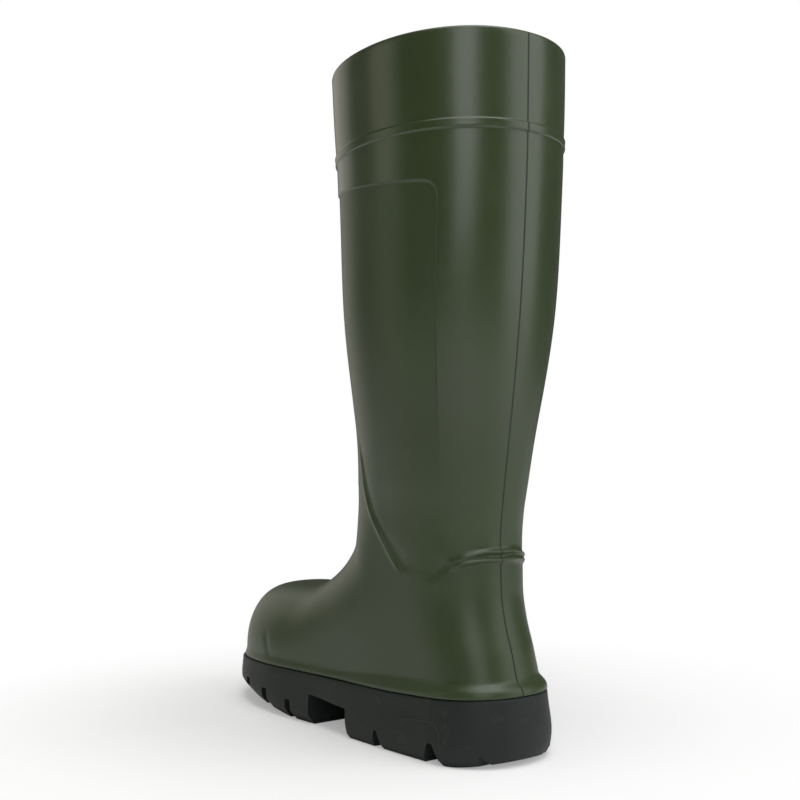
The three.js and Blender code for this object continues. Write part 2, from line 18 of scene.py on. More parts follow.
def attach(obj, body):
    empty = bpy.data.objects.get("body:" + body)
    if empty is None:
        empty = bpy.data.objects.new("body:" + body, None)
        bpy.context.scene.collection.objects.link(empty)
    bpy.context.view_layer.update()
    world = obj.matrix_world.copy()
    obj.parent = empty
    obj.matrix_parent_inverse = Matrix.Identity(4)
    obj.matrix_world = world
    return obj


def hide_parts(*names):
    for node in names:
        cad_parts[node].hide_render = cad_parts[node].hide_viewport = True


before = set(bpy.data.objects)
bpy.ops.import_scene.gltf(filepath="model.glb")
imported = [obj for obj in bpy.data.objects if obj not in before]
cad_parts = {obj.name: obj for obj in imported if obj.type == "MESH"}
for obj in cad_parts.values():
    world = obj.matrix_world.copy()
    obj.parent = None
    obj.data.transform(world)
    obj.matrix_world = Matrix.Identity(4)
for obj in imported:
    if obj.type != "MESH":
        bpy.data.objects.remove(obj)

Array = np.ndarray
Colour = Tuple[float, float, float]
Row = Tuple[float, ...]
Solid = Tuple[np.ndarray, List[List[int]]]
MM = 0.001
LOG = logging.getLogger("boot")


class Slot(Enum):
    """Material slots of the record."""

    UPPER = "olive_rubber"
    SOLE = "sole_rubber"
    INSOLE = "insole_foam"


class Face(Enum):
    """Which finish a face of the upper wears."""

    RUBBER = 0
    LINING = 1


class Table:
    """Rows of numbers under named columns, of which the first one rises."""

    def __init__(self, names: str, *rows: Row) -> None:
        """Splits the rows into columns.

        Args:
            names: Names of the columns.
            rows: Their values, row by row.
        """
        self.names, self.rows = names.split(), rows
        self.columns = dict(zip(self.names, np.array(rows, float).T))

    def __getitem__(self, name: str) -> Array:
        """A column."""
        return self.columns[name]

    def spline(self, name: str) -> "Spline":
        """A column as a spline over the first one."""
        return Spline(self.columns[self.names[0]], self.columns[name])


# Straight cuts of the upper from its back line to its front line. Heights count rungs of a ladder. At the back
# 0 is the edge on the sole, 1 the ankle, 2 the cuff and 3 the collar. At the front 0 is the edge, 1 the top of
# the toe, 2 the bend of the instep, 3 the cuff and 4 the collar. The run to the front adds shares of sizes.
SECTIONS = Table(
    "back_rise back_in of_length of_ankle of_collar front_rise",
    (0, 0, 1, 0, 0, 0), (0.045, 0.004, 0.995, 0, 0, 0.21), (0.135, 0.014, 0.969, 0, 0, 0.61),
    (0.18, 0.019, 0.939, 0, 0, 0.77), (0.225, 0.025, 0.892, 0, 0, 0.915), (0.31, 0.037, 0.756, 0, 0, 1.012),
    (0.415, 0.047, 0.47, 0.353, 0, 1.037), (0.48, 0.05, 0.26, 0.66, 0, 1.114),
    (0.55, 0.051, 0.1, 0.88, 0, 1.237), (0.63, 0.0515, 0.02, 0.96, 0, 1.39), (0.725, 0.051, 0, 1, 0, 1.57),
    (1, 0.036, 0, 0.8, 0.18, 2), (1.45, -0.012, 0, 0.22, 0.725, 2.44), (1.86, -0.038, 0, 0.05, 0.915, 2.85),
    (2, -0.043, 0, 0.03, 0.945, 3), (3, -0.049, 0, 0, 1, 4),
)
# Half widths of the foot at a share of its length, as shares of a width between heel and ball.
PLAN = Table(
    "at ball outer inner",
    (0, 0, 0.483, 0.483), (0.11, 0, 0.5, 0.49), (0.24, 0, 0.555, 0.476), (0.37, 0.1, 0.572, 0.449),
    (0.5, 0.35, 0.55, 0.445), (0.6, 0.65, 0.531, 0.46), (0.7, 0.9, 0.521, 0.486), (0.78, 1, 0.501, 0.495),
    (0.86, 1, 0.476, 0.5), (0.93, 1, 0.436, 0.48), (1, 1, 0.386, 0.451),
)
# Half width of ankle and shaft at a rung of the back.
SHAFT = Table(
    "rise of_ankle of_collar",
    (0.19, 0.5, 0), (0.44, 0.495, 0), (0.7, 0.507, 0), (0.96, 0.47, 0.043), (1.24, 0.36, 0.185),
    (1.5, 0.22, 0.332), (1.76, 0.1, 0.42), (2, 0.03, 0.47), (3, 0, 0.5),
)
# Rounding of the heel at a rung of the back, by share of the heel's width.
HEEL_ROUND = Table("rise reach", (0, 0.52), (0.19, 0.545), (0.53, 0.6), (0.87, 0.745))
# How much of the heel's extra height the upper's edge has left along the length.
EDGE = Table("at left", (0, 1), (0.33, 0.51), (0.7, 0.26), (1, 0))
# The twin ridges round the heel: distance from the back seam by share of the ankle's depth.
RIBS = Table(
    "away upper lower strength",
    (0, 0.67, 0.632, 1), (0.055, 0.674, 0.634, 1), (0.12, 0.668, 0.631, 1), (0.17, 0.655, 0.624, 1),
    (0.2, 0.645, 0.617, 0.95), (0.225, 0.634, 0.609, 0.6), (0.255, 0.618, 0.597, 0),
)
# The crease beside the instep: its place by share of the depth at a rung of the back.
CREASE = Table(
    "rise at strength",
    (0.565, 0.335, 0), (0.59, 0.36, 0.6), (0.62, 0.395, 1), (0.65, 0.43, 1), (0.75, 0.55, 1),
    (0.87, 0.656, 0.9), (1.02, 0.707, 0.7), (1.16, 0.75, 0),
)
# Notches in the sole's edge: place along the length, and shares of a width and a height.
HEEL_NOTCHES = Table(
    "at base top height",
    (0.014, 0.42, 0.2, 0.42), (0.104, 1.5, 0.35, 1), (0.268, 0.95, 0.25, 0.87),
)
LUG_NOTCHES = Table(
    "at base top height",
    (0.6, 0.9, 0.75, 1), (0.7, 1.2, 0.8, 0.95), (0.795, 1.1, 0.8, 0.85), (0.885, 1, 0.8, 0.6),
)
# The sole's side: how much of the swell it has at a share of the height.
SIDE = Table("rise swell", (0.06, 0.5), (0.3, 1), (0.55, 0.8), (0.8, 0.25), (0.965, 0))
# Rings of the mesh: the section where a run of them ends, and how many it has.
OUTER_RUNS = (
    (0.03, 1), (0.08, 1), (0.16, 1), (0.3, 2), (1, 6), (2, 10), (3, 6), (4, 9), (5, 12), (6, 16), (7, 14),
    (8, 18), (9, 24), (10, 28), (11, 28), (12, 22), (12.85, 14), (13.4, 32), (13.7, 4),
)
INNER_RUNS = ((1, 2), (4, 4), (6, 6), (8, 5), (10, 6), (12, 7), (14, 5), (15, 4))


def mix(a: Any, b: Any, t: Any) -> Any:
    """Straight-line mix: a where t is 0 and b where t is 1."""
    return a + (b - a) * t


def smooth(start: float, end: float, t: Any) -> Array:
    """Cubic step: 0 up to start, 1 from end on, with level ends."""
    x = np.clip((np.asarray(t, float) - start) / (end - start), 0, 1)
    return x * x * (3 - 2 * x)


def bell(distance: Any, width: Any) -> Array:
    """Bell curve: e to the power of minus the square of distance over width."""
    return np.exp(-((np.asarray(distance, float) / width) ** 2))


def hollow(distance: Any, reach: Any) -> Array:
    """A trough on one side of a line: steep from the line to its depth at reach, and slow to come back."""
    share = np.maximum(np.asarray(distance, float) / reach, 0)
    return share * np.exp(1 - share)


def arch(t: Any, power: Any) -> Array:
    """A quarter of a superellipse: 0 at the rim, 1 once t reaches 1."""
    return (1 - (1 - np.clip(t, 0, 1)) ** power) ** (1 / np.asarray(power, float))


class Spline:
    """Natural cubic spline through a table's values, level in curvature at both ends."""

    def __init__(self, at: Sequence[float], value: Sequence[float]) -> None:
        """Solves the spline.

        Args:
            at: Places, rising.
            value: Values at those places.
        """
        self.at, self.value = np.asarray(at, float), np.asarray(value, float)
        gaps, count = np.diff(self.at), len(self.at)
        matrix, right = np.eye(count), np.zeros(count)
        for i in range(1, count - 1):
            matrix[i, i - 1: i + 2] = gaps[i - 1], 2 * (gaps[i - 1] + gaps[i]), gaps[i]
            slopes = np.diff(self.value[i - 1: i + 2]) / gaps[i - 1: i + 1]
            right[i] = 6 * (slopes[1] - slopes[0])
        self.bend = np.linalg.solve(matrix, right)

    def __call__(self, x: Any) -> Array:
        """The spline at x, held at its end values outside the table."""
        x = np.clip(np.asarray(x, float), self.at[0], self.at[-1])
        i = np.clip(np.searchsorted(self.at, x) - 1, 0, len(self.at) - 2)
        gap, d = self.at[i + 1] - self.at[i], x - self.at[i]
        before, after = self.bend[i], self.bend[i + 1]
        slope = (self.value[i + 1] - self.value[i]) / gap - gap * (2 * before + after) / 6
        return self.value[i] + d * (slope + d * (before / 2 + d * (after - before) / (6 * gap)))


def outward(points: Array) -> Array:
    """Unit normals of a closed stack of rings: the step up the rings crossed with the step round them."""
    along = np.roll(points, -1, 1) - np.roll(points, 1, 1)
    normals = np.cross(np.gradient(points, axis=0), along)
    return normals / np.maximum(np.linalg.norm(normals, axis=2, keepdims=True), 1e-12)


@dataclass
class Last:
    """The form of the boot: its driving sizes and the surface that they give."""

    length: float = 289.5 * MM
    ball_width: float = 100 * MM
    heel_width: float = 70 * MM
    ankle_width: float = 75 * MM
    ankle_depth: float = 116 * MM
    toe_height: float = 52.5 * MM
    toe_round: float = 65 * MM
    toe_swing: float = 4.2 * MM
    swing_from: float = 0.55
    instep_height: float = 114.5 * MM
    ankle_height: float = 117 * MM
    boot_height: float = 395 * MM
    collar_depth: float = 151 * MM
    collar_width: float = 124 * MM
    cuff_drop: float = 50 * MM
    heel_stack: float = 38 * MM
    toe_stack: float = 29 * MM
    heel_seat: float = 0.186
    toe_power: float = 2.3
    shaft_power: float = 2.0
    back_power: float = 2.15
    body_blend: Tuple[float, float] = (0.19, 0.96)
    back_blend: Tuple[float, float] = (0.87, 1.2)
    hub_share: float = 0.35
    toe_top_section: float = 5
    least_depth: float = 1 * MM
    samples: int = 1500

    def __post_init__(self) -> None:
        """Works out the back and front lines and the tables that follow from them."""
        self.cuff_height = self.boot_height - self.cuff_drop
        toe_top = self.toe_stack + self.toe_height
        self.bend_height = toe_top + self.instep_height
        self.back_ladder = [self.heel_stack, self.heel_stack + self.ankle_height, self.cuff_height,
                            self.boot_height]
        self.front_ladder = [self.toe_stack, toe_top, self.bend_height, self.cuff_height, self.boot_height]
        back = SECTIONS["back_in"] * self.length
        front = (back + SECTIONS["of_length"] * self.length + SECTIONS["of_ankle"] * self.ankle_depth
                 + SECTIONS["of_collar"] * self.collar_depth)
        numbers = range(len(back))
        self.top = len(back) - 1.0
        self.back_y = Spline(numbers, back)
        self.front_y = Spline(numbers, front)
        self.back_z = Spline(numbers, self.climb(self.back_ladder, SECTIONS["back_rise"]))
        self.front_z = Spline(numbers, self.climb(self.front_ladder, SECTIONS["front_rise"]))
        self.sampled = np.linspace(0, self.top, self.samples)
        self.lines = {name: line(self.sampled) for name, line in (
            ("back_y", self.back_y), ("back_z", self.back_z),
            ("front_y", self.front_y), ("front_z", self.front_z))}
        self.hub_z = self.bend_height
        self.hub_y = float(mix(self.front_at(self.hub_z), self.length, self.hub_share))
        ahead = int(np.argmax(self.lines["front_y"] < self.hub_y)) + 1
        self.toe_line_y = self.lines["front_y"][:ahead][::-1]
        self.toe_line_z = self.lines["front_z"][:ahead][::-1]
        run, drop = self.hub_y - self.lines["front_y"], self.hub_z - self.lines["front_z"]
        near = (run > -self.heel_width) & (drop > -self.heel_width)
        angles = np.arctan2(drop[near], run[near])
        order = np.argsort(angles)
        self.fan_angle = angles[order]
        self.fan_reach = np.hypot(run[near], drop[near])[order]
        self.plan = {name: PLAN.spline(name) for name in ("ball", "outer", "inner")}
        self.shaft = {name: SHAFT.spline(name) for name in ("of_ankle", "of_collar")}
        self.edge_left = EDGE.spline("left")

    @staticmethod
    def climb(ladder: Sequence[float], rise: Any) -> Array:
        """Height of a rung, or of a place between two rungs."""
        return np.interp(rise, range(len(ladder)), ladder)

    def rise_of(self, z: Any) -> Array:
        """Rung of the back at a height."""
        return np.interp(z, self.back_ladder, range(len(self.back_ladder)))

    def back_at(self, z: Any) -> Array:
        """The back line's place at a height."""
        return np.interp(z, self.lines["back_z"], self.lines["back_y"])

    def front_at(self, z: Any) -> Array:
        """The front line's place at a height."""
        return np.interp(z, self.lines["front_z"], self.lines["front_y"])

    def section_at(self, z: Any) -> Array:
        """Section whose back end lies at a height."""
        return np.interp(z, self.lines["back_z"], self.sampled)

    def edge_height(self, y: Any) -> Array:
        """Height of the upper's edge on the sole."""
        return mix(self.toe_stack, self.heel_stack, self.edge_left(np.asarray(y) / self.length))

    def toe_line(self, y: Any) -> Array:
        """Height of the toe's top line."""
        return np.interp(y, self.toe_line_y, self.toe_line_z)

    def front_closing(self, y: Array, z: Array) -> Array:
        """How far the upper has closed towards its front line.

        A superellipse of the depth behind the front line. Ahead of the hub the depth is measured down from
        the toe's top line, above the hub straight back, and between them towards the hub.

        Args:
            y: Places in the side view.
            z: Heights.

        Returns:
            1 at full width, 0 on the front line.
        """
        middle = (self.heel_stack + self.toe_stack) / 2
        run, drop = self.hub_y - y, self.hub_z - z
        angle = np.arctan2(drop, run)
        turn = smooth(0, math.pi / 2, angle)
        upright = (self.front_at(z) - self.back_at(z)) / 2
        flat = np.maximum(self.toe_line(y) - middle, self.least_depth)
        at_hub = (self.front_at(self.hub_z) - self.back_at(self.hub_z)) / 2
        beside = np.hypot(run, drop) - np.interp(angle, self.fan_angle, self.fan_reach)
        beside_over = mix(at_hub, self.toe_line(self.hub_y) - middle, turn)
        ahead, above = y >= self.hub_y, z >= self.hub_z
        depth = np.where(ahead, self.toe_line(y) - z, np.where(above, self.front_at(z) - y, beside))
        over = np.where(ahead, flat, np.where(above, upright, beside_over))
        power = np.where(ahead, self.toe_power,
                         np.where(above, self.shaft_power, mix(self.shaft_power, self.toe_power, turn)))
        return arch(depth / over, power)

    def back_closing(self, y: Array, z: Array) -> Array:
        """How far the upper has closed towards its back line: a superellipse of the distance to it."""
        rise = self.rise_of(z)
        heel = np.interp(rise, HEEL_ROUND["rise"], HEEL_ROUND["reach"]) * self.heel_width
        half = (self.front_at(z) - self.back_at(z)) / 2
        reach = mix(heel, half, smooth(*self.back_blend, rise))
        return arch((y - self.back_at(z)) / reach, self.back_power)

    def half_widths(self, y: Array, z: Array) -> Tuple[Array, Array, Array]:
        """Centre line and half widths of the upper at places in its side view.

        Args:
            y: Places in the side view.
            z: Heights.

        Returns:
            The centre line, the outer half width and the inner half width.
        """
        rise, share = self.rise_of(z), np.clip(y / self.length, 0, 1)
        body = smooth(*self.body_blend, rise)
        width = mix(self.heel_width, self.ball_width, np.clip(self.plan["ball"](share), 0, 1))
        toe = arch((self.length - y) / self.toe_round, self.toe_power)
        shaft = (self.shaft["of_ankle"](rise) * self.ankle_width
                 + self.shaft["of_collar"](rise) * self.collar_width)
        closing = self.front_closing(y, z) * self.back_closing(y, z)
        centre = self.toe_swing * smooth(self.swing_from, 1, share) * (1 - body)
        outer = mix(self.plan["outer"](share) * width * toe, shaft, body) * closing
        inner = mix(self.plan["inner"](share) * width * toe, shaft, body) * closing
        return centre, outer, inner

    def side_place(self, section: Array, share: Array) -> Tuple[Array, Array]:
        """Places in the side view: straight from back to front, with the edge's sag dying out upwards."""
        y = mix(self.back_y(section), self.front_y(section), share)
        at_edge = mix(self.back_y(0), self.front_y(0), share)
        sag = self.edge_height(at_edge) - mix(self.heel_stack, self.toe_stack, share)
        z = mix(self.back_z(section), self.front_z(section), share)
        return y, z + sag * (1 - smooth(0, self.toe_top_section, section))

    def rings(self, section: Array, share: Array) -> Array:
        """Rings of points: the back seam, the outer side, the front and the inner side.

        Args:
            section: Section numbers, one to a ring.
            share: Shares of the way from back to front, a row to a ring.

        Returns:
            Points by ring, place round it and axis.
        """
        y, z = self.side_place(section[:, None], share)
        centre, outer, inner = self.half_widths(y, z)
        sides = [np.stack([x, y, z], axis=2) for x in (centre - outer, centre + inner)]
        return np.concatenate([sides[0], sides[1][:, -2:0:-1]], axis=1)

    def to_row(self, points: Array) -> Array:
        """Points moved from the back of the upper to the frame's own origin."""
        return points - np.array([0, self.heel_seat * self.length, 0])


def round_shares(steps: int) -> Array:
    """Shares of the way from back to front, closer together at both ends as a cosine spaces them."""
    return (1 - np.cos(np.pi * np.arange(steps + 1) / steps)) / 2


def ring_faces(rings: int, around: int, looped: bool) -> Array:
    """Quads between neighbouring rings, whose corners run up one ring and down the next.

    Args:
        rings: Number of rings.
        around: Points on each.
        looped: Whether the last ring joins the first.

    Returns:
        Four corner numbers a face.
    """
    low = np.arange(rings if looped else rings - 1)[:, None]
    high, i = (low + 1) % rings, np.arange(around)[None, :]
    following = (i + 1) % around
    corners = [low * around + i, high * around + i, high * around + following, low * around + following]
    return np.stack([np.broadcast_to(c, (low.size, around)) for c in corners], axis=2).reshape(-1, 4)


def cap_faces(first: int, around: int, up: bool) -> List[List[int]]:
    """Strips across one ring, from each place on its outer side to the same place on its inner side.

    Args:
        first: Number of the ring's first point.
        around: Points on the ring, an even number.
        up: Whether the faces look up.

    Returns:
        Corner numbers, three a face.
    """
    i = np.arange(1, around // 2)
    far, far_next = around - i, around - i - 1
    near = np.stack([far, i, i + 1], axis=1)[: around // 2 - 1]
    rest = np.stack([far, i + 1, far_next], axis=1)[: around // 2 - 2]
    ends = np.array([[0, 1, around - 1]])
    faces = np.concatenate([ends, near, rest]) + first
    return (faces[:, ::-1] if up else faces).tolist()


def add_object(name: str, data: Any) -> bpy.types.Object:
    """A new object of the scene."""
    made = bpy.data.objects.new(name, data)
    bpy.context.scene.collection.objects.link(made)
    return made


def mesh_object(name: str, points: Array, faces: Sequence[Sequence[int]]) -> bpy.types.Object:
    """A new smooth-shaded object from points and faces, at the origin."""
    mesh = bpy.data.meshes.new(name)
    mesh.from_pydata(points.reshape(-1, 3).tolist(), [], [list(face) for face in faces])
    mesh.update()
    mesh.polygons.foreach_set("use_smooth", np.ones(len(mesh.polygons), bool))
    return add_object(name, mesh)


def point_values(mesh: bpy.types.Mesh, name: str, values: Array) -> None:
    """Keeps one number a point as a named attribute."""
    mesh.attributes.new(name, "FLOAT", "POINT").data.foreach_set("value", values.ravel().astype(np.float32))


class Signal:
    """A shader socket that adds Math nodes as it is used in an expression."""

    def __init__(self, graph: "Graph", socket: bpy.types.NodeSocket) -> None:
        """Wraps a socket of a graph."""
        self.graph, self.socket = graph, socket

    def math(self, operation: str, *others: Any, first: Any = None) -> "Signal":
        """A Math node on this signal, or on first and then this one.

        Args:
            operation: The node's operation.
            others: What its later sockets take.
            first: What its first socket takes in place of this signal, which then comes second.

        Returns:
            The node's value.
        """
        values = [self, *others] if first is None else [first, self, *others]
        return self.graph.node("ShaderNodeMath", {"operation": operation}, dict(enumerate(values)))

    def __add__(self, other: Any) -> "Signal":
        """Sum."""
        return self.math("ADD", other)

    __radd__ = __add__

    def __sub__(self, other: Any) -> "Signal":
        """Difference."""
        return self.math("SUBTRACT", other)

    def __rsub__(self, other: Any) -> "Signal":
        """Difference with this signal taken away."""
        return self.math("SUBTRACT", first=other)

    def __mul__(self, other: Any) -> "Signal":
        """Product."""
        return self.math("MULTIPLY", other)

    __rmul__ = __mul__

    def step(self, start: float, end: float) -> "Signal":
        """Soft step: 0 where this signal is start and 1 where it is end."""
        settings = {"interpolation_type": "SMOOTHSTEP"}
        return self.graph.node("ShaderNodeMapRange", settings,
                               {"Value": self, "From Min": start, "From Max": end})


class Graph:
    """Builds the nodes of one material or world."""

    def __init__(self, tree: bpy.types.NodeTree) -> None:
        """Starts on an empty tree."""
        self.tree = tree
        tree.nodes.clear()

    def node(self, kind: str, settings: Optional[Dict[str, Any]] = None,
             inputs: Optional[Dict[Union[str, int], Any]] = None, output: Union[str, int] = 0) -> Signal:
        """Adds a node.

        Args:
            kind: The node's type.
            settings: Its settings, set first.
            inputs: Values or links of its sockets, by name or number.
            output: The socket that is wanted.

        Returns:
            That socket as a signal.
        """
        made = self.tree.nodes.new(kind)
        for name, value in (settings or {}).items():
            setattr(made, name, value)
        for name, value in (inputs or {}).items():
            if isinstance(value, Signal):
                self.tree.links.new(value.socket, made.inputs[name])
            else:
                made.inputs[name].default_value = value
        return Signal(self, made.outputs[output])

    def show(self, shader: Signal, kind: str = "ShaderNodeOutputMaterial") -> None:
        """Links a shader to the tree's output."""
        self.tree.links.new(shader.socket, self.tree.nodes.new(kind).inputs["Surface"])

    def noise(self, where: Signal, scale: float, detail: float = 2.0) -> Signal:
        """Noise from 0 to 1 with about that many features a metre."""
        return self.node("ShaderNodeTexNoise", {}, {"Vector": where, "Scale": scale, "Detail": detail})

    def attribute(self, name: str) -> Signal:
        """A point attribute of the piece."""
        return self.node("ShaderNodeAttribute", {"attribute_name": name}, {}, "Fac")

    def blend(self, factor: Any, a: Any, b: Any) -> Signal:
        """Mix of two colours."""
        return self.node("ShaderNodeMix", {"data_type": "RGBA"}, {0: factor, 6: a, 7: b}, 2)

    def bump(self, height: Signal, depth: float, under: Optional[Signal] = None) -> Signal:
        """Normal of a relief whose height runs from 0 to 1 over that depth in metres."""
        inputs: Dict[Union[str, int], Any] = {"Height": height, "Distance": depth, "Strength": 1.0}
        if under is not None:
            inputs["Normal"] = under
        return self.node("ShaderNodeBump", {}, inputs)


def rgba(colour: Colour) -> Row:
    """An opaque colour."""
    return (*colour, 1.0)


def new_material(name: str) -> Tuple[bpy.types.Material, Graph, Signal]:
    """A material, its empty graph and its object coordinates."""
    made = bpy.data.materials.new(name)
    made.use_nodes = True
    graph = Graph(made.node_tree)
    return made, graph, graph.node("ShaderNodeTexCoord", output="Object")


class Marks(Enum):
    """What a rubber piece's mould left on it."""

    SEAMS = "seams down back and front"
    HEEL_LINE = "a raised line on the heel's sides"


@dataclass(frozen=True)
class Rubber:
    """Moulded rubber: a tone with slow mottling, fine grain, and the marks of its mould."""

    name: str
    tone: Colour
    pale: Colour
    roughness: float
    coat: float
    grain: float
    grain_depth: float
    marks: Marks
    mottle: float = 14.0
    dust: float = 0.0
    gloss: float = 0.0
    shine: float = 0.45
    seam_half: float = 0.6 * MM
    seam_depth: float = 0.15 * MM
    line_top: float = 23.8 * MM
    line_rear: float = -30.8 * MM
    line_round: float = 8 * MM
    line_slope: float = 0.08
    line_half: float = 0.75 * MM
    line_proud: float = 0.3 * MM

    def seams(self, graph: Graph) -> Signal:
        """The seams' lines, from 0 beside them to 1 on them."""
        back, front = (1 - graph.attribute(name).step(self.seam_half * 0.4, self.seam_half)
                       for name in ("from_back", "from_front"))
        return back + front * 0.6

    def heel_line(self, graph: Graph, where: Signal) -> Signal:
        """The line on the heel's sides, which turns down behind in a round corner and fades to the front.

        Args:
            graph: The material's graph.
            where: Object coordinates.

        Returns:
            1 on the line and 0 beside it.
        """
        y, z = (graph.node("ShaderNodeSeparateXYZ", {}, {0: where}, axis) for axis in ("Y", "Z"))
        ahead = y - (self.line_rear + self.line_round)
        behind = ahead.math("MULTIPLY", -1.0).math("MAXIMUM", 0.0)
        top = z + ahead.math("MAXIMUM", 0.0) * self.line_slope
        up = (top - (self.line_top - self.line_round)).math("MAXIMUM", 0.0)
        reach = (behind * behind + up * up).math("SQRT")
        off = (reach - self.line_round).math("ABSOLUTE")
        fade = (1 - ahead.step(17 * MM, 33 * MM)) * z.step(11 * MM, 18 * MM)
        return (1 - off.step(0.0, self.line_half)) * fade

    def material(self) -> bpy.types.Material:
        """Builds the finish.

        Returns:
            The material.
        """
        made, graph, where = new_material(self.name)
        slow = graph.noise(where, self.mottle, 3.0)
        cloud = graph.noise(where, self.mottle * 9, 4.0)
        colour = graph.blend(slow.step(0.35, 0.7), rgba(self.tone), rgba(self.pale))
        dusty = cloud.step(0.56, 0.78) * self.dust
        colour = graph.blend(dusty, colour, rgba((0.2, 0.2, 0.17)))
        normal = graph.bump(graph.noise(where, self.grain, 3.0), self.grain_depth)
        rough = slow * 0.06 + cloud * 0.05 + dusty * 0.3 + (self.roughness - 0.055)
        coat: Union[float, Signal] = self.coat
        if self.marks is Marks.SEAMS:
            line, strip = self.seams(graph), graph.attribute("strip")
            colour = graph.blend(line * 0.9, colour, rgba((0.004, 0.006, 0.002)))
            normal = graph.bump(1 - line, self.seam_depth, normal)
            rough = rough - strip * (self.gloss * 0.4) + line * 0.3
            coat = (1 - line) * (strip * self.gloss + self.coat)
        else:
            line = self.heel_line(graph, where)
            colour = graph.blend(line * 0.35, colour, rgba((0.04, 0.042, 0.038)))
            normal = graph.bump(line, self.line_proud, normal)
        shader = graph.node("ShaderNodeBsdfPrincipled", {}, {
            "Base Color": colour, "Roughness": rough, "Normal": normal,
            "Coat Weight": coat, "Coat Roughness": 0.24, "IOR": 1.5, "Specular IOR Level": self.shine,
        })
        graph.show(shader)
        return made


@dataclass(frozen=True)
class Knit:
    """A knitted lining or a felted top: two tones in fine ribs or speckles."""

    name: str
    tone: Colour
    pale: Colour
    ribs: float
    speckle: float
    relief: float

    def material(self) -> bpy.types.Material:
        """Builds the finish.

        Returns:
            The material.
        """
        made, graph, where = new_material(self.name)
        speck = graph.noise(where, self.speckle, 3.0)
        wave = graph.node("ShaderNodeTexWave", {"bands_direction": "Z"},
                          {"Vector": where, "Scale": self.ribs, "Distortion": 1.5, "Detail Scale": 4.0})
        height = wave * 0.5 + speck * 0.5
        colour = graph.blend(height.step(0.25, 0.75), rgba(self.tone), rgba(self.pale))
        shader = graph.node("ShaderNodeBsdfPrincipled", {}, {
            "Base Color": colour, "Roughness": 0.92, "Normal": graph.bump(height, self.relief),
        })
        graph.show(shader)
        return made


OLIVE = Rubber("olive_rubber_satin", (0.0235, 0.0385, 0.0112), (0.0275, 0.044, 0.0132), 0.4, 0.02, 1900,
               0.012 * MM, Marks.SEAMS, dust=0.03, gloss=0.24)
DARK_SOLE = Rubber("sole_rubber_matt", (0.0082, 0.0117, 0.0098), (0.0108, 0.015, 0.0126), 0.56, 0.0, 1500,
                   0.05 * MM, Marks.HEEL_LINE, dust=0.06, shine=0.3)
LINING = Knit("knit_lining", (0.03, 0.034, 0.028), (0.06, 0.066, 0.055), 160, 2500, 0.15 * MM)
FELT = Knit("insole_felt", (0.035, 0.037, 0.04), (0.075, 0.078, 0.082), 60, 1400, 0.25 * MM)


